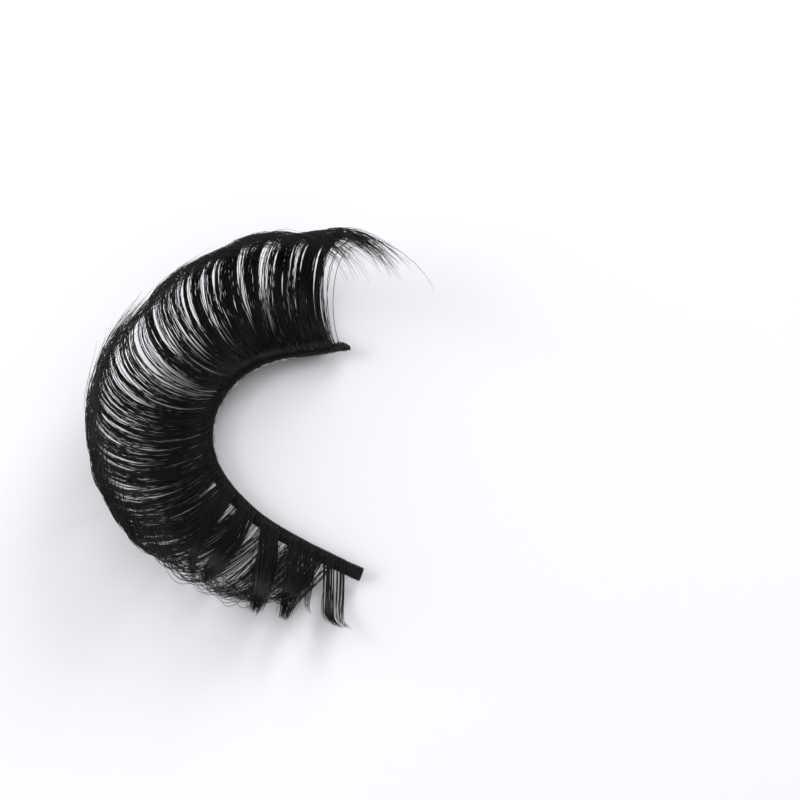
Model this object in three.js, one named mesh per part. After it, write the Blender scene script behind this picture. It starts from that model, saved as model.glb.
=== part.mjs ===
// A strip false eyelash: a knotted-thread band bent in a C, with fans of curled hair side by side along it.
// Millimetres, +Z up. It lies on the bellies of its hair, with the inner corner of the eye towards -Y,
// the outer corner towards +Y and the hair curling up on the outside of the C.
import * as THREE from "three";

// The band is a flat strip that follows arcs from the inner corner to the outer corner.
const BAND_WIDTH = 1.2;
const BAND_THICKNESS = 0.5;
const BAND_STEPS = 40;
const BAND_START_HEADING = 156; // degrees from +X
const BAND_ARCS = [
  { length: 7.6, turn: -7.5 },
  { length: 7.0, turn: -28.5 },
  { length: 7.6, turn: -61 },
  { length: 6.3, turn: -50 },
  { length: 5.3, turn: 2 },
];
const BAND_LENGTH = BAND_ARCS.reduce((sum, arc) => sum + arc.length, 0);
const ROUND_END_LENGTH = 0.9;
const ROUND_END_WIDTH = 0.4; // share of the band's width that is left at the outer tip

// The lay of the hair at stations along the band. Hair leaves the band outwards and drops towards the table,
// then turns up through its curl, and leans from its root sweep to its tip sweep towards the outer corner.
// Near the outer corner its tips hang, which takes some of that sweep away again.
const HAIR_STATIONS = [
  { at: 0.06, length: 7.7, drop: 30, turn: 97, rootSweep: -20, tipSweep: -46, hang: 0 },
  { at: 0.12, length: 9.8, drop: 30, turn: 122, rootSweep: 8, tipSweep: 5, hang: 0 },
  { at: 0.22, length: 13.6, drop: 30, turn: 148, rootSweep: 11, tipSweep: 12, hang: 0 },
  { at: 0.34, length: 17.4, drop: 29, turn: 170, rootSweep: 0, tipSweep: 42, hang: 0 },
  { at: 0.48, length: 19.0, drop: 28, turn: 190, rootSweep: -6, tipSweep: 60, hang: 0 },
  { at: 0.62, length: 18.9, drop: 28, turn: 200, rootSweep: -15, tipSweep: 66, hang: 0 },
  { at: 0.78, length: 19.3, drop: 28, turn: 212, rootSweep: -16, tipSweep: 66, hang: 8 },
  { at: 0.88, length: 20.8, drop: 28, turn: 240, rootSweep: -11, tipSweep: 70, hang: 32 },
  { at: 0.955, length: 21.0, drop: 28, turn: 259, rootSweep: -6, tipSweep: 79, hang: 62 },
];
const CURL_POWER = 1.3; // over 1, so that the curl tightens towards the tips
const SWEEP_POWER = 1.5; // and so does the lean towards the outer corner
const HANG_FROM = 0.65; // share of the hair where its tip begins to hang
const HANG_POWER = 1.5;
const HAIR_STEPS = 48;

// The fans of hair stand side by side between the bare tabs at the ends of the band.
const FAN_COUNT = 30;
const FIRST_FAN_EDGE = 0.045;
const LAST_FAN_EDGE = 0.962;
const FAN_PITCH = (LAST_FAN_EDGE - FIRST_FAN_EDGE) / FAN_COUNT;
const FAN_ROOT_GAP = 0.25; // clear of the band
const FAN_STEPS = 14;
const FAN_EDGE_THICKNESS = 0.5; // share of the thickness that is left at a fan's side edges
const FAN_SECTIONS = [
  { at: 0, spread: 0.76, thickness: 0.5 },
  { at: 0.35, spread: 0.8, thickness: 0.9 },
  { at: 0.7, spread: 0.68, thickness: 0.8 },
  { at: 1, spread: 0.25, thickness: 0.3 },
];

const DIFFERENCE = 1e-3;
const UP = new THREE.Vector3(0, 0, 1);
const radians = THREE.MathUtils.degToRad;

// A smooth curve through one column of a table whose rows stand at uneven places.
function along(rows, column, place) {
  const last = rows.length - 1;
  const next = rows.findIndex((row) => row.at >= place);
  const i = THREE.MathUtils.clamp((next < 0 ? last : next) - 1, 0, last - 1);
  const slope = (k) => {
    const before = rows[Math.max(k - 1, 0)];
    const after = rows[Math.min(k + 1, last)];
    return (after[column] - before[column]) / (after.at - before.at);
  };
  const step = rows[i + 1].at - rows[i].at;
  const q = (place - rows[i].at) / step;
  const rise = q * q * (3 - 2 * q);
  return (
    rows[i][column] * (1 - rise) +
    rows[i + 1][column] * rise +
    step * q * (1 - q) * ((1 - q) * slope(i) - q * slope(i + 1))
  );
}

// The point and heading of the band's inner edge, seen from above, at a share of its length.
function bandLine(share) {
  let left = share * BAND_LENGTH;
  let heading = radians(BAND_START_HEADING);
  const point = new THREE.Vector3();
  BAND_ARCS.forEach((arc, i) => {
    const run = i < BAND_ARCS.length - 1 ? Math.min(left, arc.length) : left;
    const bend = radians(arc.turn) / arc.length;
    const end = heading + bend * run;
    point.x += (Math.sin(end) - Math.sin(heading)) / bend;
    point.y -= (Math.cos(end) - Math.cos(heading)) / bend;
    heading = end;
    left -= run;
  });
  return { point, heading };
}

// One hair in its own section: how far out, up and sideways it has gone at each step of its length.
function hairSection(share) {
  const lay = {};
  for (const column of ["length", "drop", "turn", "rootSweep", "tipSweep", "hang"]) {
    lay[column] = along(HAIR_STATIONS, column, share);
  }
  const step = lay.length / HAIR_STEPS;
  const points = [{ out: 0, up: 0, side: 0 }];
  for (let i = 0; i < HAIR_STEPS; i++) {
    const x = (i + 0.5) / HAIR_STEPS;
    const pitch = radians(lay.turn * x ** CURL_POWER - lay.drop);
    const lean = (lay.tipSweep - lay.rootSweep) * x ** SWEEP_POWER;
    const hanging = Math.max(0, (x - HANG_FROM) / (1 - HANG_FROM)) ** HANG_POWER;
    const sweep = radians(lay.rootSweep + lean - lay.hang * hanging);
    const from = points[i];
    points.push({
      out: from.out + step * Math.cos(sweep) * Math.cos(pitch),
      up: from.up + step * Math.cos(sweep) * Math.sin(pitch),
      side: from.side + step * Math.sin(sweep),
    });
  }
  return { length: lay.length, points };
}

// The height that lays the underside of the fan at this share on the table.
function bandHeight(section) {
  const undersides = section.points.map(
    (point, i) => point.up - along(FAN_SECTIONS, "thickness", i / HAIR_STEPS) / 2,
  );
  return -Math.min(...undersides);
}

// A point of the sheet that all the hair lies in: a share along the band, and a share along the hair.
function hairPoint(bandShare, hairShare) {
  const { point, heading } = bandLine(bandShare);
  const section = hairSection(bandShare);
  const place = hairShare * HAIR_STEPS;
  const i = Math.min(Math.floor(place), HAIR_STEPS - 1);
  const mix = (key) => THREE.MathUtils.lerp(section.points[i][key], section.points[i + 1][key], place - i);
  const sideways = new THREE.Vector3(Math.cos(heading), Math.sin(heading), 0);
  const outwards = new THREE.Vector3().crossVectors(UP, sideways);
  return point
    .addScaledVector(outwards, mix("out"))
    .addScaledVector(sideways, mix("side"))
    .addScaledVector(UP, mix("up") + bandHeight(section));
}

// The sheet's unit normal, on the table side of the hair.
function hairNormal(bandShare, hairShare) {
  const h = THREE.MathUtils.clamp(hairShare, DIFFERENCE, 1 - DIFFERENCE);
  const lengthwise = hairPoint(bandShare, h + DIFFERENCE).sub(hairPoint(bandShare, h - DIFFERENCE));
  const crosswise = hairPoint(bandShare + DIFFERENCE, h).sub(hairPoint(bandShare - DIFFERENCE, h));
  return lengthwise.cross(crosswise).normalize();
}

// A straight blank, 0 to 1 long and -1 to 1 wide and thick, with each of its points put in its place.
function formed(lengthSteps, widthSteps, place) {
  const geometry = new THREE.BoxGeometry(1, 2, 2, lengthSteps, widthSteps, 1).translate(0.5, 0, 0);
  const points = geometry.attributes.position;
  for (let i = 0; i < points.count; i++) {
    const { x, y, z } = place(points.getX(i), points.getY(i), points.getZ(i));
    points.setXYZ(i, x, y, z);
  }
  geometry.computeVertexNormals();
  return geometry;
}

// The band slopes outwards with the roots of the hair. Its inner edge, which is glued to the lid, is upright.
function bandGeometry() {
  return formed(BAND_STEPS, 1, (share, across, thick) => {
    const { point, heading } = bandLine(share);
    const section = hairSection(share);
    const toTip = (1 - share) * BAND_LENGTH;
    const rounding = Math.sqrt(Math.max(0, 1 - (1 - Math.min(toTip / ROUND_END_LENGTH, 1)) ** 2));
    const width = BAND_WIDTH * THREE.MathUtils.lerp(ROUND_END_WIDTH, 1, rounding);
    const outwards = new THREE.Vector3(-Math.sin(heading), Math.cos(heading), 0);
    const drop = radians(along(HAIR_STATIONS, "drop", share));
    const reach = (width * (across + 1)) / 2;
    return point
      .addScaledVector(outwards, reach * Math.cos(drop))
      .addScaledVector(UP, bandHeight(section) - reach * Math.sin(drop) + (thick * BAND_THICKNESS) / 2);
  });
}

// A fan is a lens-shaped lock that follows the sheet of hair from just off the band to its tips.
function fanGeometry(index) {
  const middle = FIRST_FAN_EDGE + FAN_PITCH * (index + 0.5);
  const root = (BAND_WIDTH + FAN_ROOT_GAP) / hairSection(middle).length;
  return formed(FAN_STEPS, 2, (length, across, thick) => {
    const hairShare = root + (1 - root) * length;
    const bandShare = middle + (across * FAN_PITCH * along(FAN_SECTIONS, "spread", hairShare)) / 2;
    const lens = 1 - (1 - FAN_EDGE_THICKNESS) * across * across;
    const half = (lens * along(FAN_SECTIONS, "thickness", hairShare)) / 2;
    return hairPoint(bandShare, hairShare).addScaledVector(hairNormal(bandShare, hairShare), thick * half);
  });
}

function named(name, geometry, look) {
  const mesh = new THREE.Mesh(geometry, new THREE.MeshStandardMaterial(look));
  mesh.name = name;
  return mesh;
}

const lash = new THREE.Group();
lash.add(named("band", bandGeometry(), { color: 0x1c1b1e, roughness: 0.85, metalness: 0 }));
for (let i = 0; i < FAN_COUNT; i++) {
  const name = `hair_fan_${String(i + 1).padStart(2, "0")}`;
  lash.add(named(name, fanGeometry(i), { color: 0x0c0b0d, roughness: 0.4, metalness: 0 }));
}

// The origin is the middle of the lash's outline, on the table.
const box = new THREE.Box3().setFromObject(lash);
const middle = box.getCenter(new THREE.Vector3());
lash.position.set(-middle.x, -middle.y, -box.min.z);

const eyelash = new THREE.Group();
eyelash.add(lash);
export default eyelash;
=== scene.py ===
import math

import bpy
import numpy as np
from mathutils import Matrix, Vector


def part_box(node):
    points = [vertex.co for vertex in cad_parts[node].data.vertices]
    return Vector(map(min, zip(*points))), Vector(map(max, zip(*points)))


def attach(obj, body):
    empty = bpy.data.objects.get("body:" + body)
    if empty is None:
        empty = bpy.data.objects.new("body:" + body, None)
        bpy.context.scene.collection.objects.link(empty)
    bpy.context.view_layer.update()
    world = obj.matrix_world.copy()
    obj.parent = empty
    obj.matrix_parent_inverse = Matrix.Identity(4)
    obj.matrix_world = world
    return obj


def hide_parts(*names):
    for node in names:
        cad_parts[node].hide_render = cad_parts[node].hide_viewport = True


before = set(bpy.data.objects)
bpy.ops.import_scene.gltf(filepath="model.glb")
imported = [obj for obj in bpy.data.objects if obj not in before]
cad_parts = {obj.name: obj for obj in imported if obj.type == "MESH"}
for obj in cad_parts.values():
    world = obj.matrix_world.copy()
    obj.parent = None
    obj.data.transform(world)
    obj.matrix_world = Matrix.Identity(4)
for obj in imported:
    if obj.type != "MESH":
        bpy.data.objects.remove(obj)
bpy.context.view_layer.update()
bpy.ops.object.select_all(action="DESELECT")


# The band
# A flat strip of black cotton thread, stiffened with glue and bent in a C, which is glued along the lid.
# It runs in arcs from the inner corner of the eye to the outer one, and slopes outwards with the hair.
MM = 0.001
BAND_WIDTH = 1.2 * MM
BAND_THICKNESS = 0.5 * MM
BAND_START_HEADING = 156  # degrees from +X
BAND_ARCS = [  # length in mm, turn in degrees
    (7.6, -7.5),
    (7.0, -28.5),
    (7.6, -61.0),
    (6.3, -50.0),
    (5.3, 2.0),
]
BAND_LENGTH = sum(length for length, turn in BAND_ARCS) * MM

# The lay of the hair along the band. Each hair drops from the band to the table and turns up through its
# curl, and leans from its root sweep to its tip sweep towards the outer corner, where its tip hangs down
# again. The band stands at the height that lays the bellies of the hair on the table.
# The columns are share of the band, length in mm, and drop, turn, root sweep, tip sweep and hang in degrees.
HAIR_LAY = np.array([
    (0.06, 7.7, 30, 97, -20, -46, 0),
    (0.12, 9.8, 30, 122, 8, 5, 0),
    (0.22, 13.6, 30, 148, 11, 12, 0),
    (0.34, 17.4, 29, 170, 0, 42, 0),
    (0.48, 19.0, 28, 190, -6, 60, 0),
    (0.62, 18.9, 28, 200, -15, 66, 0),
    (0.78, 19.3, 28, 212, -16, 66, 8),
    (0.88, 20.8, 28, 240, -11, 70, 32),
    (0.955, 21.0, 28, 259, -6, 79, 62),
])
SHARE, LENGTH, DROP, TURN, ROOT_SWEEP, TIP_SWEEP, HANG = range(7)
CURL_POWER = 1.3
SWEEP_POWER = 1.5
HANG_FROM = 0.65  # share of the hair
HANG_POWER = 1.5
HAIR_STEPS = 40
FAN_THICKNESS = np.array([(0, 0.5), (0.35, 0.9), (0.7, 0.8), (1, 0.3)])  # share of the hair, mm


def along(table, column, place):
    """A smooth curve through one column of a table whose rows stand at uneven places."""
    at, value = table[:, 0], table[:, column]
    rows = np.arange(len(at))
    before, after = np.maximum(rows - 1, 0), np.minimum(rows + 1, len(at) - 1)
    slope = (value[after] - value[before]) / (at[after] - at[before])
    i = np.clip(np.searchsorted(at, place) - 1, 0, len(at) - 2)
    step = at[i + 1] - at[i]
    q = (place - at[i]) / step
    rise = q * q * (3 - 2 * q)
    ease = step * q * (1 - q) * ((1 - q) * slope[i] - q * slope[i + 1])
    return value[i] * (1 - rise) + value[i + 1] * rise + ease


def lay_at(share):
    """The usual lay of the hair at shares of the band, a row for each."""
    share = np.asarray(share, float)
    columns = [along(HAIR_LAY, column, share) for column in range(LENGTH, HANG + 1)]
    return np.stack([share] + columns, axis=1)


def hair_sections(lay):
    """How far out, up and sideways hairs have gone at each step of their length, for the rows of lay."""
    def running(steps):
        return np.concatenate([np.zeros((len(steps), 1)), np.cumsum(steps, axis=1)], axis=1)

    share = (np.arange(HAIR_STEPS) + 0.5) / HAIR_STEPS
    step = lay[:, LENGTH, None] * MM / HAIR_STEPS
    pitch = np.radians(lay[:, TURN, None] * share**CURL_POWER - lay[:, DROP, None])
    lean = (lay[:, TIP_SWEEP] - lay[:, ROOT_SWEEP])[:, None] * share**SWEEP_POWER
    hang = lay[:, HANG, None] * (np.maximum(share - HANG_FROM, 0) / (1 - HANG_FROM)) ** HANG_POWER
    sweep = np.radians(lay[:, ROOT_SWEEP, None] + lean - hang)
    out = running(step * np.cos(sweep) * np.cos(pitch))
    up = running(step * np.cos(sweep) * np.sin(pitch))
    side = running(step * np.sin(sweep))
    return out, up, side


def band_height(share):
    """The height of the band that lays the bellies of the hair on the table."""
    out, up, side = hair_sections(lay_at(share))
    half = along(FAN_THICKNESS, 1, np.linspace(0, 1, HAIR_STEPS + 1)) * MM / 2
    return -(up - half).min(axis=1)


inner_end_heading = math.radians(BAND_START_HEADING)
inner_end_drop = math.radians(HAIR_LAY[0, DROP])
inner_end_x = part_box("band")[1].x
inner_end_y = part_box("band")[0].y - BAND_WIDTH * math.cos(inner_end_drop) * math.cos(inner_end_heading)


def band_line(share):
    """Where the band's inner edge is at shares of its length, seen from above, and its heading there."""
    left = np.asarray(share, float) * BAND_LENGTH
    heading = np.full_like(left, inner_end_heading)
    x = np.full_like(left, inner_end_x)
    y = np.full_like(left, inner_end_y)
    for length, turn in BAND_ARCS:
        run = np.clip(left, 0, length * MM)
        bend = math.radians(turn) / (length * MM)
        end = heading + bend * run
        x = x + (np.sin(end) - np.sin(heading)) / bend
        y = y - (np.cos(end) - np.cos(heading)) / bend
        heading = end
        left = left - run
    return x, y, heading


def on_band(share, across, above):
    """Points on the band, across from its inner edge and above its middle."""
    x, y, heading = band_line(share)
    drop = np.radians(along(HAIR_LAY, DROP, share))
    out = across * np.cos(drop) + above * np.sin(drop)
    up = above * np.cos(drop) - across * np.sin(drop)
    height = band_height(share) + up
    return np.stack([x - out * np.sin(heading), y + out * np.cos(heading), height], axis=-1)


THREAD_RADIUS = 0.072 * MM
CORE_WIDTH = BAND_WIDTH - 2 * THREAD_RADIUS
CORE_THICKNESS = BAND_THICKNESS - 2 * THREAD_RADIUS
CORE_SIDES = 16
CORE_STEPS_PER_MM = 5
CORE_SMOOTH_ANGLE = 50  # degrees
TIP_LENGTH = 0.9 * MM
TIP_WIDTH = 0.4  # share of the band's width


def tip_rounding(share):
    """The share of the band's width that is left towards its rounded outer tip."""
    to_tip = np.minimum((1 - share) * BAND_LENGTH / TIP_LENGTH, 1)
    return TIP_WIDTH + (1 - TIP_WIDTH) * np.sqrt(1 - (1 - to_tip) ** 2)


# Its flat section stands across the inner end of the band, is spun through the arcs, and is then lifted
# ring by ring to the roots of the hair.
ACROSS_THE_BAND = Matrix(((0, 0, 1, 0), (1, 0, 0, 0), (0, 1, 0, 0), (0, 0, 0, 1)))
bpy.ops.mesh.primitive_circle_add(vertices=CORE_SIDES, radius=0.5, fill_type="NGON")
band = bpy.context.object
band.name = "lash_band"
band.matrix_world = (
    Matrix.Translation((inner_end_x, inner_end_y, 0))
    @ Matrix.Rotation(inner_end_heading, 4, "Z")
    @ ACROSS_THE_BAND
    @ Matrix.Diagonal((CORE_WIDTH, CORE_THICKNESS, 1, 1))
    @ Matrix.Translation((0.5, 0, 0))
)
bpy.ops.object.transform_apply()
bpy.ops.object.mode_set(mode="EDIT")
bpy.ops.mesh.select_all(action="SELECT")
ring_shares = [0.0]
for length, turn in BAND_ARCS:
    x, y, heading = (float(v) for v in band_line(ring_shares[-1]))
    radius = length * MM / math.radians(turn)
    steps = round(length * CORE_STEPS_PER_MM)
    centre = (x - radius * math.sin(heading), y + radius * math.cos(heading), 0)
    bpy.ops.mesh.spin(steps=steps, angle=-math.radians(turn), center=centre, axis=(0, 0, 1))
    start = ring_shares[-1]
    ring_shares += [start + length * MM / BAND_LENGTH * (k + 1) / steps for k in range(steps)]
bpy.ops.object.mode_set(mode="OBJECT")
ring_shares = np.array(ring_shares)
points = np.zeros(len(band.data.vertices) * 3)
band.data.vertices.foreach_get("co", points)
rings = points.reshape(-1, CORE_SIDES, 3)
x, y, heading = (v[:, None] for v in band_line(ring_shares))
reach = (rings[:, :, 1] - y) * np.cos(heading) - (rings[:, :, 0] - x) * np.sin(heading) + THREAD_RADIUS
reach *= tip_rounding(ring_shares)[:, None]
rings[:] = np.stack([on_band(ring_shares, reach[:, k], rings[:, k, 2]) for k in range(CORE_SIDES)], axis=1)
band.data.vertices.foreach_set("co", points)
bpy.ops.object.shade_smooth_by_angle(angle=math.radians(CORE_SMOOTH_ANGLE))

thread = bpy.data.materials.new("black_thread")
thread.use_nodes = True
nodes, links = thread.node_tree.nodes, thread.node_tree.links
cotton = nodes["Principled BSDF"]
cotton.inputs["Roughness"].default_value = 0.75
cotton.inputs["Specular IOR Level"].default_value = 0.3
place = nodes.new("ShaderNodeTexCoord")
fuzz = nodes.new("ShaderNodeTexNoise")
fuzz.inputs["Scale"].default_value = 9000
fuzz.inputs["Detail"].default_value = 3
links.new(place.outputs["Object"], fuzz.inputs["Vector"])
tint = nodes.new("ShaderNodeValToRGB")
tint.color_ramp.elements[0].position = 0.35
tint.color_ramp.elements[0].color = (0.003, 0.003, 0.0035, 1)
tint.color_ramp.elements[1].position = 0.75
tint.color_ramp.elements[1].color = (0.016, 0.0155, 0.0175, 1)
links.new(fuzz.outputs["Fac"], tint.inputs["Fac"])
links.new(tint.outputs["Color"], cotton.inputs["Base Color"])
rough = nodes.new("ShaderNodeBump")
rough.inputs["Strength"].default_value = 0.6
rough.inputs["Distance"].default_value = 0.02 * MM
links.new(fuzz.outputs["Fac"], rough.inputs["Height"])
links.new(rough.outputs["Normal"], cotton.inputs["Normal"])
band.data.materials.append(thread)
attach(band, "root")
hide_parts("band")


# The winding
# One fine cotton thread wound round the band from end to end, five turns to the millimetre. It ties the
# roots of the hair on, shows as a fine saw-tooth along the bare inner edge, and lies slack at the outer end.
WINDING_TURNS = 168
WINDING_STEPS = 14  # in each turn
WINDING_SIDES = 5
WINDING_SQUARENESS = 0.6  # under 1, so that it lies flat on the band and bends round its edges
WINDING_FROM, WINDING_TO = 0.003, 0.997  # shares of the band
WINDING_SLACK = np.array([(0.9, 0.012), (0.96, 0.05)])  # share of the band, how far turns stray in mm
END_KNOT, END_KNOT_SPREAD = 0.974, 0.006  # shares of the band
END_KNOT_HEIGHT = 0.2 * MM  # how far the turns bulge there
random = np.random.default_rng(12)  # the one seeded source of chance, for the hair too


def joined_tubes(name, lines, radii, sides):
    """One mesh of round tubes along centre lines, closed at both ends, each with a strip of the map."""
    count, rings = lines.shape[:2]
    tangent = np.gradient(lines, axis=1)
    tangent /= np.linalg.norm(tangent, axis=2, keepdims=True)
    beside = np.cross(tangent, (0, 0, 1.0))
    for k in range(rings):
        carried = beside[:, max(k - 1, 0)]
        carried = carried - tangent[:, k] * (carried * tangent[:, k]).sum(axis=1, keepdims=True)
        beside[:, k] = carried / np.linalg.norm(carried, axis=1, keepdims=True)
    above = np.cross(beside, tangent)
    turn = np.arange(sides) * 2 * math.pi / sides
    ring = beside[:, :, None] * np.cos(turn)[:, None] - above[:, :, None] * np.sin(turn)[:, None]
    points = lines[:, :, None] + ring * radii[:, :, None, None]
    first = (np.arange(count) * rings * sides)[:, None, None]
    row, side = np.arange(rings - 1)[:, None], np.arange(sides)
    next_row, next_side = row + 1, (side + 1) % sides
    corners = [(row, side), (row, next_side), (next_row, next_side), (next_row, side)]
    wall = np.stack([r * sides + s for r, s in corners], axis=-1)
    walls = (first[..., None] + wall).reshape(-1, 4)
    last = (rings - 1) * sides
    caps = [list(range(a + sides - 1, a - 1, -1)) for a in first.ravel()]
    caps += [list(range(a + last, a + last + sides)) for a in first.ravel()]
    mesh = bpy.data.meshes.new(name)
    mesh.from_pydata(points.reshape(-1, 3), [], walls.tolist() + caps)
    strip = np.arange(count)[:, None, None]
    bottom = np.broadcast_to(row / (rings - 1), (count, rings - 1, sides))
    top = bottom + 1 / (rings - 1)
    left = np.broadcast_to((strip + side / sides) / count, bottom.shape)
    right = left + 1 / sides / count
    wall_spots = np.stack([left, bottom, right, bottom, right, top, left, top], axis=-1).reshape(-1, 2)
    middle = np.repeat((np.arange(count) + 0.5) / count, sides)
    root_spots = np.stack([middle, np.zeros_like(middle)], axis=1)
    tip_spots = np.stack([middle, np.ones_like(middle)], axis=1)
    spots = np.concatenate([wall_spots, root_spots, tip_spots]).astype(np.float32)
    layer = mesh.uv_layers.new(name="OFBake")
    layer.uv.foreach_set("vector", spots.ravel())
    mesh.polygons.foreach_set("use_smooth", np.ones(len(mesh.polygons), bool))
    mesh.update()
    piece = bpy.data.objects.new(name, mesh)
    bpy.context.scene.collection.objects.link(piece)
    return piece


def squared(wave):
    """A wave that dwells on its crests."""
    return np.sign(wave) * np.abs(wave) ** WINDING_SQUARENESS


winding_rings = WINDING_TURNS * WINDING_STEPS
winding_share = np.linspace(WINDING_FROM, WINDING_TO, winding_rings)
winding_turn = np.arange(winding_rings) * 2 * math.pi / WINDING_STEPS
turn_share = np.linspace(0, 1, WINDING_TURNS)
turn_slack = random.normal(size=WINDING_TURNS) * np.interp(turn_share, *WINDING_SLACK.T) * MM
slack = np.interp(winding_share, turn_share, turn_slack)
winding_middle = BAND_WIDTH / 2 * tip_rounding(winding_share)
winding_width = (BAND_WIDTH / 2 - THREAD_RADIUS) * tip_rounding(winding_share)
winding_across = winding_middle + (winding_width + slack) * squared(np.cos(winding_turn))
winding_across += END_KNOT_HEIGHT * np.exp(-(((winding_share - END_KNOT) / END_KNOT_SPREAD) ** 2))
winding_above = (BAND_THICKNESS / 2 - THREAD_RADIUS + slack) * squared(np.sin(winding_turn))
winding_line = on_band(winding_share, winding_across, winding_above)
winding_radius = np.full(winding_rings, THREAD_RADIUS)
winding = joined_tubes("band_winding", winding_line[None], winding_radius[None], WINDING_SIDES)
winding.data.materials.append(thread)
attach(winding, "root")


# The pale edge line
# Fine pale fibres along the band's inner edge, where it bends most, which show there as a thin light line.
# They lie along the winding.
PALE_LINE_FIBRES = 150
PALE_LINE_FROM, PALE_LINE_TO = 0.47, 0.86  # shares of the band
PALE_LINE_LENGTH = 0.9 * MM
PALE_LINE_SHORTNESS = (0.4, 1)  # the least and most of that length
PALE_LINE_OFFSETS = (-0.06, -0.01)  # mm from the band's inner edge
PALE_LINE_HEIGHTS = (-0.16, 0.06)  # mm over the band's middle
PALE_LINE_WAVER_ACROSS, PALE_LINE_WAVER_UP = 0.035, 0.01  # mm
PALE_LINE_RADIUS = 0.016 * MM
PALE_LINE_SIDES = 3
PALE_LINE_RINGS = 6
pale_share = random.uniform(PALE_LINE_FROM, PALE_LINE_TO, (PALE_LINE_FIBRES, 1))
pale_run = np.linspace(-0.5, 0.5, PALE_LINE_RINGS) * PALE_LINE_LENGTH / BAND_LENGTH
pale_run = pale_run * random.uniform(*PALE_LINE_SHORTNESS, (PALE_LINE_FIBRES, 1))
pale_offset = random.uniform(*PALE_LINE_OFFSETS, (PALE_LINE_FIBRES, 1)) * MM
pale_across = pale_offset + random.normal(0, PALE_LINE_WAVER_ACROSS, (PALE_LINE_FIBRES, PALE_LINE_RINGS)) * MM
pale_height = random.uniform(*PALE_LINE_HEIGHTS, (PALE_LINE_FIBRES, 1)) * MM
pale_above = pale_height + random.normal(0, PALE_LINE_WAVER_UP, (PALE_LINE_FIBRES, PALE_LINE_RINGS)) * MM
pale_place = np.stack([pale_share + pale_run, pale_across, pale_above]).reshape(3, -1)
pale_lines = on_band(*pale_place).reshape(PALE_LINE_FIBRES, PALE_LINE_RINGS, 3)
pale_radii = np.full((PALE_LINE_FIBRES, PALE_LINE_RINGS), PALE_LINE_RADIUS)
pale_fibres = joined_tubes("pale_edge_line", pale_lines, pale_radii, PALE_LINE_SIDES)

# Their pale colour, lighter in patches, draws the thin light line along the band's inner edge.
pale_fibre = bpy.data.materials.new("pale_edge_fibre")
pale_fibre.use_nodes = True
nodes, links = pale_fibre.node_tree.nodes, pale_fibre.node_tree.links
fibre = nodes["Principled BSDF"]
fibre.inputs["Roughness"].default_value = 0.6
place = nodes.new("ShaderNodeTexCoord")
patches = nodes.new("ShaderNodeTexNoise")
patches.inputs["Scale"].default_value = 900
links.new(place.outputs["Object"], patches.inputs["Vector"])
tint = nodes.new("ShaderNodeValToRGB")
tint.color_ramp.elements[0].position = 0.35
tint.color_ramp.elements[0].color = (0.15, 0.145, 0.15, 1)
tint.color_ramp.elements[1].position = 0.6
tint.color_ramp.elements[1].color = (0.6, 0.58, 0.59, 1)
links.new(patches.outputs["Fac"], tint.inputs["Fac"])
links.new(tint.outputs["Color"], fibre.inputs["Base Color"])
pale_fibres.data.materials.append(pale_fibre)
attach(pale_fibres, "root")


# The hair fans
# Black synthetic hair, drawn fine and tapered to a point, tied on the band fan by fan. Half way along, its
# hairs draw together in clumps and locks with gaps between, and they spread again where they curl back over.
FAN_COUNT = 30
FIRST_FAN_EDGE, LAST_FAN_EDGE = 0.045, 0.962  # shares of the band
FAN_PITCH = (LAST_FAN_EDGE - FIRST_FAN_EDGE) / FAN_COUNT
CLUMPS = 2  # in each fan
LOCKS = 3  # in each clump
LOCK_HAIRS = np.array([  # share of the band, hairs
    (0.08, 6),
    (0.13, 4),
    (0.2, 4),
    (0.28, 3),
    (0.32, 5),
    (0.36, 8),
    (0.43, 10),
    (0.5, 11),
    (0.56, 7),
    (0.65, 7),
    (0.72, 14),
    (0.83, 14),
    (0.89, 9),
])
CLUMP_FULLNESS = (0.6, 1.45)  # the least and most of those hairs that the locks of a clump have
LOOSE_SHARE = np.array([  # share of the band, share of its hairs that lie loose from their lock
    (0.12, 0.3),
    (0.2, 0.7),
    (0.32, 0.4),
    (0.4, 0.25),
    (0.56, 0.25),
    (0.65, 0.36),
    (0.75, 0.5),
    (0.9, 0.4),
])
HAIR_ENDS = np.array([  # share of the band, and the least and most of their length that its hairs have
    (0.3, 0.93, 1),
    (0.42, 0.82, 1),
    (0.6, 0.82, 1),
    (0.72, 0.86, 1),
    (0.82, 0.84, 1),
    (0.9, 0.72, 0.95),
])
LOOSENESS = np.array([  # share of the band, factor on how far its loose hairs stray
    (0.3, 1),
    (0.42, 0.6),
    (0.56, 0.6),
    (0.64, 0.4),
])
SWELLS = np.array([  # share of the band, and how many mm longer its hair is there, which scallops the rim
    (0.1, 0),
    (0.13, 1.3),
    (0.17, 1.5),
    (0.2, 0.7),
    (0.245, 1.1),
    (0.28, -0.6),
    (0.31, 0),
    (0.35, 1),
    (0.375, 0.3),
    (0.4, 0.6),
    (0.425, 0.2),
    (0.455, 0.8),
    (0.5, 0.3),
    (0.515, 0.5),
    (0.54, 0.2),
    (0.57, 0.8),
    (0.595, 0.5),
    (0.62, -0.3),
    (0.635, -0.4),
    (0.66, -1),
    (0.69, -0.1),
    (0.71, 0.1),
    (0.76, -0.2),
    (0.8, 0.5),
    (0.91, -0.1),
])
LEANS = np.array([  # share of the band, and how many degrees more the hair leans there, at root and tip
    (0.08, 22, 40),
    (0.1, 12, 20),
    (0.12, 5, 8),
    (0.2, 0, 0),
])
CLUMP_STRAY = np.array((0.0007, 0.1, 0.4, 1.5, 0.7, 3, 4))  # how far each column of the lay strays
LOCK_STRAY = np.array((0.0015, 0.08, 0.4, 1.2, 1.2, 4, 5))
HAIR_STRAY = np.array((0, 0.12, 0.8, 12, 1.6, 6, 5))
LOOSE_STRAY = np.array((0, 0.35, 2.0, 14, 5, 12, 6))
EVEN_SPREAD = (-1.7, 1.7)  # even between these, and as wide as a normal spread of 1
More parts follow.
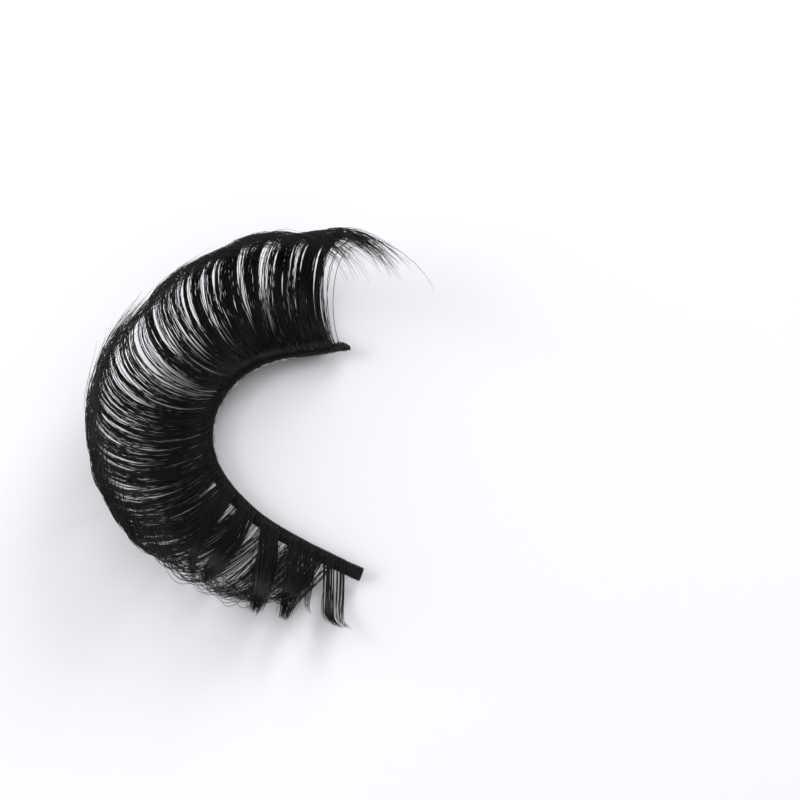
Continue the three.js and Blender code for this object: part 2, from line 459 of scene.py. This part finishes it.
CLUMP_GATHER = np.array([  # share of the hair, how near its lock is drawn to the middle of its clump
    (0.2, 0),
    (0.35, 0.12),
    (0.5, 0.22),
    (0.62, 0.15),
    (0.75, 0.03),
    (1, 0),
])
CLUMP_TIGHTNESS = np.array([(0.6, 0.4), (0.75, 0.6), (0.85, 1)])  # share of the band, factor on that
CLUMP_GRIP = (0.3, 1.2)  # the least and most of that in a clump
LOCK_GATHER = np.array([  # share of the hair, how near it is drawn to the middle of its lock
    (0.2, 0),
    (0.31, 0.25),
    (0.41, 0.74),
    (0.5, 0.87),
    (0.6, 0.75),
    (0.7, 0.45),
    (0.8, 0.3),
    (1, 0.25),
])
LOCK_WIDTH = 3  # at the band, in pitches from lock to lock, so that locks overlap there
WAVE_LENGTH = 7.0 * MM  # the slight waves that make hairs cross each other
WAVE_HEIGHT = 0.05 * MM
LOOSE_GATHER = 0.2  # share of its lock's gather that a loose hair follows
EDGE_FROM = 0.93  # share of the band past which no hair leans out over the edge
PARTINGS = np.array([  # share of the band, half width in mm
    (0.082, 0.35),
    (0.197, 0.65),
    (0.272, 0.85),
    (0.347, 0.5),
    (0.42, 0.25),
])
PARTING_REACH = 3 * MM
CROSSING_SHARE = 0.14  # of the hairs, which cross a parting
CROSSING_PUSH = (0, 0.6)  # the least and most of the way aside that those are pushed
ROOT_REACH = 2.2 * MM  # how far out the hair still lies raised over the band
ROOT_STARTS = (0.2, 0.6)  # mm from the band's inner edge
ROOT_LAYERS = (0, 0.15)  # mm that roots lie over the band and each other
HAIR_RADIUS = 0.036 * MM
HAIR_FINENESS = (0.75, 1.15)  # the least and most of that radius
HAIR_SIDES = 3
HAIR_RINGS = 17
HAIR_TAPER = np.array([(0, 1), (0.5, 1), (0.8, 0.65), (1, 0.15)])  # share of the hair, share of its radius
hair_share = np.linspace(0, 1, HAIR_STEPS + 1)


def by_share(table, share, column=1):
    """A column of a table, read at shares in its first column."""
    return np.interp(share, table[:, 0], table[:, column])


def way_gone(lay):
    """How far along its length each hair is at its steps."""
    return lay[:, LENGTH, None] * MM * hair_share


def hair_lines(lay, lift):
    """Centre lines of hairs from the band's inner edge to their tips, raised over the band by lift."""
    out, up, side = hair_sections(lay)
    drop = np.radians(lay[:, DROP, None])
    raised = np.reshape(lift, (-1, 1)) * np.exp(-((way_gone(lay) / ROOT_REACH) ** 2))
    out = out + raised * np.sin(drop)
    up = up + raised * np.cos(drop)
    x, y, heading = (v[:, None] for v in band_line(lay[:, SHARE]))
    height = band_height(lay[:, SHARE])[:, None]
    cos, sin = np.cos(heading), np.sin(heading)
    return np.stack([x + side * cos - out * sin, y + side * sin + out * cos, height + up], axis=2)


def moved_aside(lay, lines, aside):
    """The lines with their points moved aside, along the band."""
    heading = band_line(lay[:, SHARE])[2]
    direction = np.stack([np.cos(heading), np.sin(heading), np.zeros_like(heading)], axis=1)
    return lines + aside[:, :, None] * direction[:, None]


def parted(lay, lines, partings):
    """The lines with their roots pushed apart at partings, where the table shows through."""
    push = np.zeros(len(lay))
    for share, half in partings:
        away = (lay[:, SHARE] - share) * BAND_LENGTH
        push += np.sign(away) * np.maximum(half * MM - np.abs(away) / 2, 0)
    is_crossing = random.uniform(size=len(lay)) < CROSSING_SHARE
    push *= np.where(is_crossing, random.uniform(*CROSSING_PUSH, len(lay)), 1)
    return moved_aside(lay, lines, push[:, None] * np.exp(-((way_gone(lay) / PARTING_REACH) ** 2)))


def waved(lay, lines):
    """The lines with slight sideways waves, each with its own, that grow over the first wave."""
    height = random.normal(0, WAVE_HEIGHT, (len(lay), 1))
    start = random.uniform(size=(len(lay), 1))
    waves = way_gone(lay) / WAVE_LENGTH
    return moved_aside(lay, lines, height * np.sin(2 * math.pi * (waves + start)) * np.minimum(waves, 1))


def drawn(lines, start, end):
    """Points of each line at even steps between its own start and end, shares of its length."""
    place = (start + (end - start) * np.linspace(0, 1, HAIR_RINGS)[:, None]).T * HAIR_STEPS
    before = np.minimum(place.astype(int), HAIR_STEPS - 1)[..., None]
    first = np.take_along_axis(lines, before, axis=1)
    return first + (np.take_along_axis(lines, before + 1, axis=1) - first) * (place[..., None] - before)


def lock_of_hair(guide, guide_line, hairs, width, stray, gather, loose=0, partings=(), ends=HAIR_ENDS):
    """Hairs that start side by side over a width of the band, and gather to a guide line on their way."""
    is_loose = random.uniform(size=(hairs, 1)) < loose
    loose_stray = LOOSE_STRAY * by_share(LOOSENESS, guide[SHARE])
    strays = random.normal(size=(hairs, HANG + 1)) * np.where(is_loose, loose_stray, stray)
    strays[:, TURN] = np.abs(strays[:, TURN])
    strays[:, SHARE] = random.uniform(-0.5, 0.5, hairs) * width
    lay = guide + strays
    at_edge = lay[:, SHARE] > EDGE_FROM
    lay[at_edge, ROOT_SWEEP] = np.minimum(lay[at_edge, ROOT_SWEEP], guide[ROOT_SWEEP])
    free = hair_lines(lay, BAND_THICKNESS / 2 + random.uniform(*ROOT_LAYERS, hairs) * MM)
    free = parted(lay, free, partings)
    pull = np.where(is_loose, LOOSE_GATHER, 1) * by_share(gather, hair_share)
    lines = waved(lay, free + (guide_line - free) * pull[:, :, None])
    start = random.uniform(*ROOT_STARTS, hairs) / lay[:, LENGTH]
    end = random.uniform(by_share(ends, guide[SHARE]), by_share(ends, guide[SHARE], 2), hairs)
    radii = HAIR_RADIUS * random.uniform(*HAIR_FINENESS, (hairs, 1))
    radii = radii * by_share(HAIR_TAPER, np.linspace(0, 1, HAIR_RINGS))
    return drawn(lines, start, end), radii


def hair_piece(name, locks):
    """One piece of all the hairs of some locks, lying on the table and not through it."""
    lines = np.concatenate([lines for lines, radii in locks])
    radii = np.concatenate([radii for lines, radii in locks])
    lines[:, :, 2] = np.maximum(lines[:, :, 2], radii)
    piece = joined_tubes(name, lines, radii, HAIR_SIDES)
    piece.data.materials.append(hair)
    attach(piece, "root")
    return piece


hair = bpy.data.materials.new("black_hair")
hair.use_nodes = True
nodes, links = hair.node_tree.nodes, hair.node_tree.links
fibre = nodes["Principled BSDF"]
fibre.inputs["Roughness"].default_value = 0.3
fibre.inputs["Specular IOR Level"].default_value = 0.25
# Each hair gets its own base colour from a noise along the map's strips. This is partly the fibres' own tone
# and partly painted sheen, lighter on a few hairs, which stands in for the glints along them.
strip = nodes.new("ShaderNodeUVMap")
strip.uv_map = "OFBake"
scale = nodes.new("ShaderNodeMapping")
scale.inputs["Scale"].default_value = (120, 3, 1)
links.new(strip.outputs["UV"], scale.inputs["Vector"])
hair_tone_and_sheen = nodes.new("ShaderNodeTexNoise")
hair_tone_and_sheen.inputs["Scale"].default_value = 1
links.new(scale.outputs["Vector"], hair_tone_and_sheen.inputs["Vector"])
tint = nodes.new("ShaderNodeValToRGB")
tint.color_ramp.elements[0].position = 0.4
tint.color_ramp.elements[0].color = (0.001, 0.001, 0.0012, 1)
tint.color_ramp.elements[1].position = 0.75
tint.color_ramp.elements[1].color = (0.024, 0.0233, 0.0258, 1)
links.new(hair_tone_and_sheen.outputs["Fac"], tint.inputs["Fac"])
links.new(tint.outputs["Color"], fibre.inputs["Base Color"])

lock_pitch = FAN_PITCH / CLUMPS / LOCKS
for fan in range(1, FAN_COUNT):
    locks = []
    for clump in range(CLUMPS):
        clump_share = FIRST_FAN_EDGE + FAN_PITCH * (fan + (clump + 0.5) / CLUMPS)
        clump_stray = random.uniform(*EVEN_SPREAD, HANG + 1) * CLUMP_STRAY
        clump_stray[LENGTH] += by_share(SWELLS, clump_share)
        clump_stray[ROOT_SWEEP] += by_share(LEANS, clump_share)
        clump_stray[TIP_SWEEP] += by_share(LEANS, clump_share, 2)
        clump_line = hair_lines(lay_at([clump_share]) + clump_stray, BAND_THICKNESS / 2)
        tightness = random.uniform(*CLUMP_GRIP) * by_share(CLUMP_TIGHTNESS, clump_share)
        clump_pull = by_share(CLUMP_GATHER, hair_share)[:, None] * tightness
        fullness = random.uniform(*CLUMP_FULLNESS)
        for lock in range(LOCKS):
            share = clump_share + lock_pitch * (lock - (LOCKS - 1) / 2)
            lock_stray = random.uniform(*EVEN_SPREAD, HANG + 1) * LOCK_STRAY
            guide = lay_at([share])[0] + clump_stray + lock_stray
            guide_line = hair_lines(guide[None], BAND_THICKNESS / 2)
            guide_line += (clump_line - guide_line) * clump_pull
            hairs = round(fullness * by_share(LOCK_HAIRS, share))
            width = LOCK_WIDTH * lock_pitch
            loose = by_share(LOOSE_SHARE, share)
            strands = lock_of_hair(guide, guide_line, hairs, width, HAIR_STRAY, LOCK_GATHER, loose, PARTINGS)
            locks.append(strands)
    piece = hair_piece(f"hair_strands_{fan + 1:02d}", locks)
    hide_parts(f"hair_fan_{fan + 1:02d}")


# The spikes
# Thick tufts of straighter black hair, tied on over the fans near the inner corner and drawn to points.
# The end tuft is the first fan, whose few strands hang apart and hook towards the inner end of the band.
SPIKES = [  # the columns of the lay, the width at the band in its shares, and how many hairs
    ((0.166, 9.9, 28, 101, -18, -16, 0), 0.062, 95),
    ((0.258, 11.0, 28, 98, -31, -16, 0), 0.052, 105),
    ((0.129, 7.8, 28, 96, -15, -33, 0), 0.014, 12),
    ((0.318, 11.0, 28, 109, -14, -21, 0), 0.045, 110),
    ((0.395, 10.8, 28, 85, -20, -61, 0), 0.03, 60),
]
SPIKE_STRAY = np.array((0, 0.5, 2, 7, 3, 6, 0))  # as HAIR_STRAY
SPIKE_ENDS = np.array([(0, 0.78, 1)])  # as HAIR_ENDS
SPIKE_GATHER = np.array([(0, 0), (0.3, 0.15), (0.7, 0.6), (1, 0.8)])  # as LOCK_GATHER
TUFT_LAY = np.array([  # the columns of the lay at both sides of the end tuft
    (0.050, 7.9, 28, 100, -23, -23, 45),
    (0.090, 8.0, 28, 92, -24, -27, 45),
])
TUFT_STRANDS = [  # share of the band, hairs
    (0.053, 8),
    (0.06, 10),
    (0.069, 4),
    (0.079, 15),
    (0.085, 18),
    (0.091, 18),
    (0.096, 14),
    (0.104, 5),
]
TUFT_STRAND_WIDTH = 0.006  # share of the band
TUFT_STRAY = np.array((0, 0.35, 1.2, 5, 0.8, 6, 0))  # as HAIR_STRAY
TUFT_ENDS = np.array([(0, 0.85, 1)])  # as HAIR_ENDS
TUFT_GATHER = np.array([(0, 0), (0.3, 0.5), (0.8, 0.7), (1, 0.7)])  # as LOCK_GATHER
strands = []
for share, hairs in TUFT_STRANDS:
    guide = TUFT_LAY[0] + (TUFT_LAY[1] - TUFT_LAY[0]) * np.interp(share, TUFT_LAY[:, SHARE], (0, 1))
    guide[SHARE] = share
    line = hair_lines(guide[None], BAND_THICKNESS / 2)
    strand = lock_of_hair(guide, line, hairs, TUFT_STRAND_WIDTH, TUFT_STRAY, TUFT_GATHER, ends=TUFT_ENDS)
    strands.append(strand)
tuft = hair_piece("hair_strands_01", strands)
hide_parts("hair_fan_01")
for number, (guide, width, hairs) in enumerate(SPIKES, 1):
    guide = np.array(guide)
    line = hair_lines(guide[None], BAND_THICKNESS)
    spike = lock_of_hair(guide, line, hairs, width, SPIKE_STRAY, SPIKE_GATHER, ends=SPIKE_ENDS)
    hair_piece(f"hair_spike_{number}", [spike])


# The wisps
# Thin strands of the same hair at the outer corner. They come out of the rim and hang down apart from each
# other, each drawn to a point.
WISPS = [  # the columns of the lay, and how many hairs
    ((0.850, 21.6, 28, 258, -4, 55, 42), 7),
    ((0.864, 21.2, 28, 256, -4, 56, 43), 10),
    ((0.893, 20.0, 28, 250, -5, 58, 46), 10),
    ((0.902, 19.4, 28, 248, -5, 60, 47), 6),
    ((0.915, 18.6, 28, 246, -6, 66, 48), 6),
    ((0.908, 19.9, 28, 251, -6, 68, 47), 7),
    ((0.918, 20.6, 28, 255, -7, 72, 47), 7),
    ((0.930, 20.6, 28, 254, -7, 74, 56), 12),
    ((0.945, 21.4, 28, 262, -6, 77, 66), 12),
    ((0.950, 20.6, 28, 260, -6, 76, 52), 9),
    ((0.938, 22.2, 28, 264, -7, 84, 50), 14),
    ((0.925, 22.4, 28, 262, -9, 84, 44), 13),
    ((0.910, 22.0, 28, 258, -10, 80, 44), 11),
    ((0.930, 21.4, 28, 260, -8, 79, 50), 11),
]
WISP_WIDTH = 0.01  # share of the band
WISP_STRAY = np.array((0, 0.6, 0.6, 4, 0.8, 6, 9))  # as HAIR_STRAY
WISP_GATHER = np.array([(0.05, 0), (0.25, 0.5), (0.5, 0.8), (0.75, 0.75), (1, 0.6)])  # as LOCK_GATHER
WISP_ENDS = np.array([(0, 0.84, 1)])  # as HAIR_ENDS
wisps = []
for guide, hairs in WISPS:
    guide = np.array(guide)
    line = hair_lines(guide[None], BAND_THICKNESS / 2)
    wisps.append(lock_of_hair(guide, line, hairs, WISP_WIDTH, WISP_STRAY, WISP_GATHER, ends=WISP_ENDS))
hair_piece("hair_wisps", wisps)


# The stray hairs
# Single hairs that have come out of their locks and stand clear of the rest: a few loops outside the rim,
# some across the partings near the inner corner, and long ones at the outer corner.
STRAY_LOOPS = 12
LOOPS_FROM, LOOPS_TO = 0.33, 0.58  # shares of the band
LOOP_STRAY = np.array((0, 0.3, 1, 3, 1.5, 5, 0))  # as HAIR_STRAY
PARTING_HAIRS = (0.19, 0.195, 0.203, 0.26, 0.266, 0.273, 0.28, 0.286, 0.341, 0.347, 0.354)  # shares
PARTING_HAIR_STRAY = np.array((0, 0.3, 1, 6, 3, 6, 0))  # as HAIR_STRAY
OUTER_HAIRS = np.array([  # the columns of the lay
    (0.975, 15.8, 28, 210, -2, 57, 40),
    (0.966, 19.0, 28, 250, -4, 72, 60),
    (0.955, 23.6, 28, 319, 0, 93, 98),
])
WHOLE = np.array([(0, 1, 1)])  # as HAIR_ENDS
no_stray, no_gather = np.zeros(HANG + 1), np.zeros((1, 2))
loops = lay_at(random.uniform(LOOPS_FROM, LOOPS_TO, STRAY_LOOPS))
loops += random.normal(size=loops.shape) * LOOP_STRAY
across = lay_at(PARTING_HAIRS)
across += random.normal(size=across.shape) * PARTING_HAIR_STRAY
singles = []
for guide in np.concatenate([loops, across, OUTER_HAIRS]):
    line = hair_lines(guide[None], BAND_THICKNESS / 2)
    single = lock_of_hair(guide, line, hairs=1, width=0, stray=no_stray, gather=no_gather, ends=WHOLE)
    singles.append(single)
hair_piece("stray_hairs", singles)


# The table
# A plain pale board with a soft sheen, which the lash lies on.
# It is wide enough to fill the view from every side.
TABLE_SIZE = 4
bpy.ops.mesh.primitive_plane_add(size=TABLE_SIZE)
table = bpy.context.object
table.name = "table"
white = bpy.data.materials.new("table_white")
white.use_nodes = True
board = white.node_tree.nodes["Principled BSDF"]
board.inputs["Base Color"].default_value = (0.88, 0.865, 0.905, 1)
board.inputs["Roughness"].default_value = 0.6
table.data.materials.append(white)


# The light
# An even white studio, with one large soft lamp on the left and a smaller one behind on the right. Both are
# turned to the lash.
world = bpy.data.worlds.new("studio")
bpy.context.scene.world = world
world.use_nodes = True
studio = world.node_tree.nodes["Background"]
studio.inputs["Color"].default_value = (1, 1, 1, 1)
studio.inputs["Strength"].default_value = 0.64

SOFTBOXES = [  # place and width in metres, power in watts
    ((-0.41, 0, 0.19), 0.4, 1.7),
    ((0.2, 0.36, 0.19), 0.25, 1.2),
]
for place, width, power in SOFTBOXES:
    bpy.ops.object.light_add(type="AREA", location=place)
    softbox = bpy.context.object
    softbox.data.shape = "DISK"
    softbox.data.size = width
    softbox.data.energy = power
    softbox.rotation_mode = "QUATERNION"
    softbox.rotation_quaternion = softbox.location.to_track_quat("Z", "Y")


# The camera
# It looks down on the table from in front, at the photograph's angle. The middle of its view is a spot on
# the table that is measured from the inner end of the band.
VIEW_ASIDE, VIEW_BEYOND = 2.9 * MM, 16.03 * MM  # to the right of that end, and away from the camera
CAMERA_ELEVATION = math.radians(62)
CAMERA_DISTANCE = 0.32
CAMERA_NEAR = 0.01
VIEW_WIDTH = 0.0667  # across the picture at that distance
bpy.ops.object.camera_add()
camera = bpy.context.object
camera.data.lens = camera.data.sensor_width * CAMERA_DISTANCE / VIEW_WIDTH
camera.location = (
    inner_end_x + VIEW_ASIDE,
    inner_end_y + VIEW_BEYOND - CAMERA_DISTANCE * math.cos(CAMERA_ELEVATION),
    CAMERA_DISTANCE * math.sin(CAMERA_ELEVATION),
)
camera.rotation_euler = (math.pi / 2 - CAMERA_ELEVATION, 0, 0)
camera.data.clip_start = CAMERA_NEAR
bpy.context.scene.camera = camera
bpy.context.scene.view_settings.view_transform = "Standard"
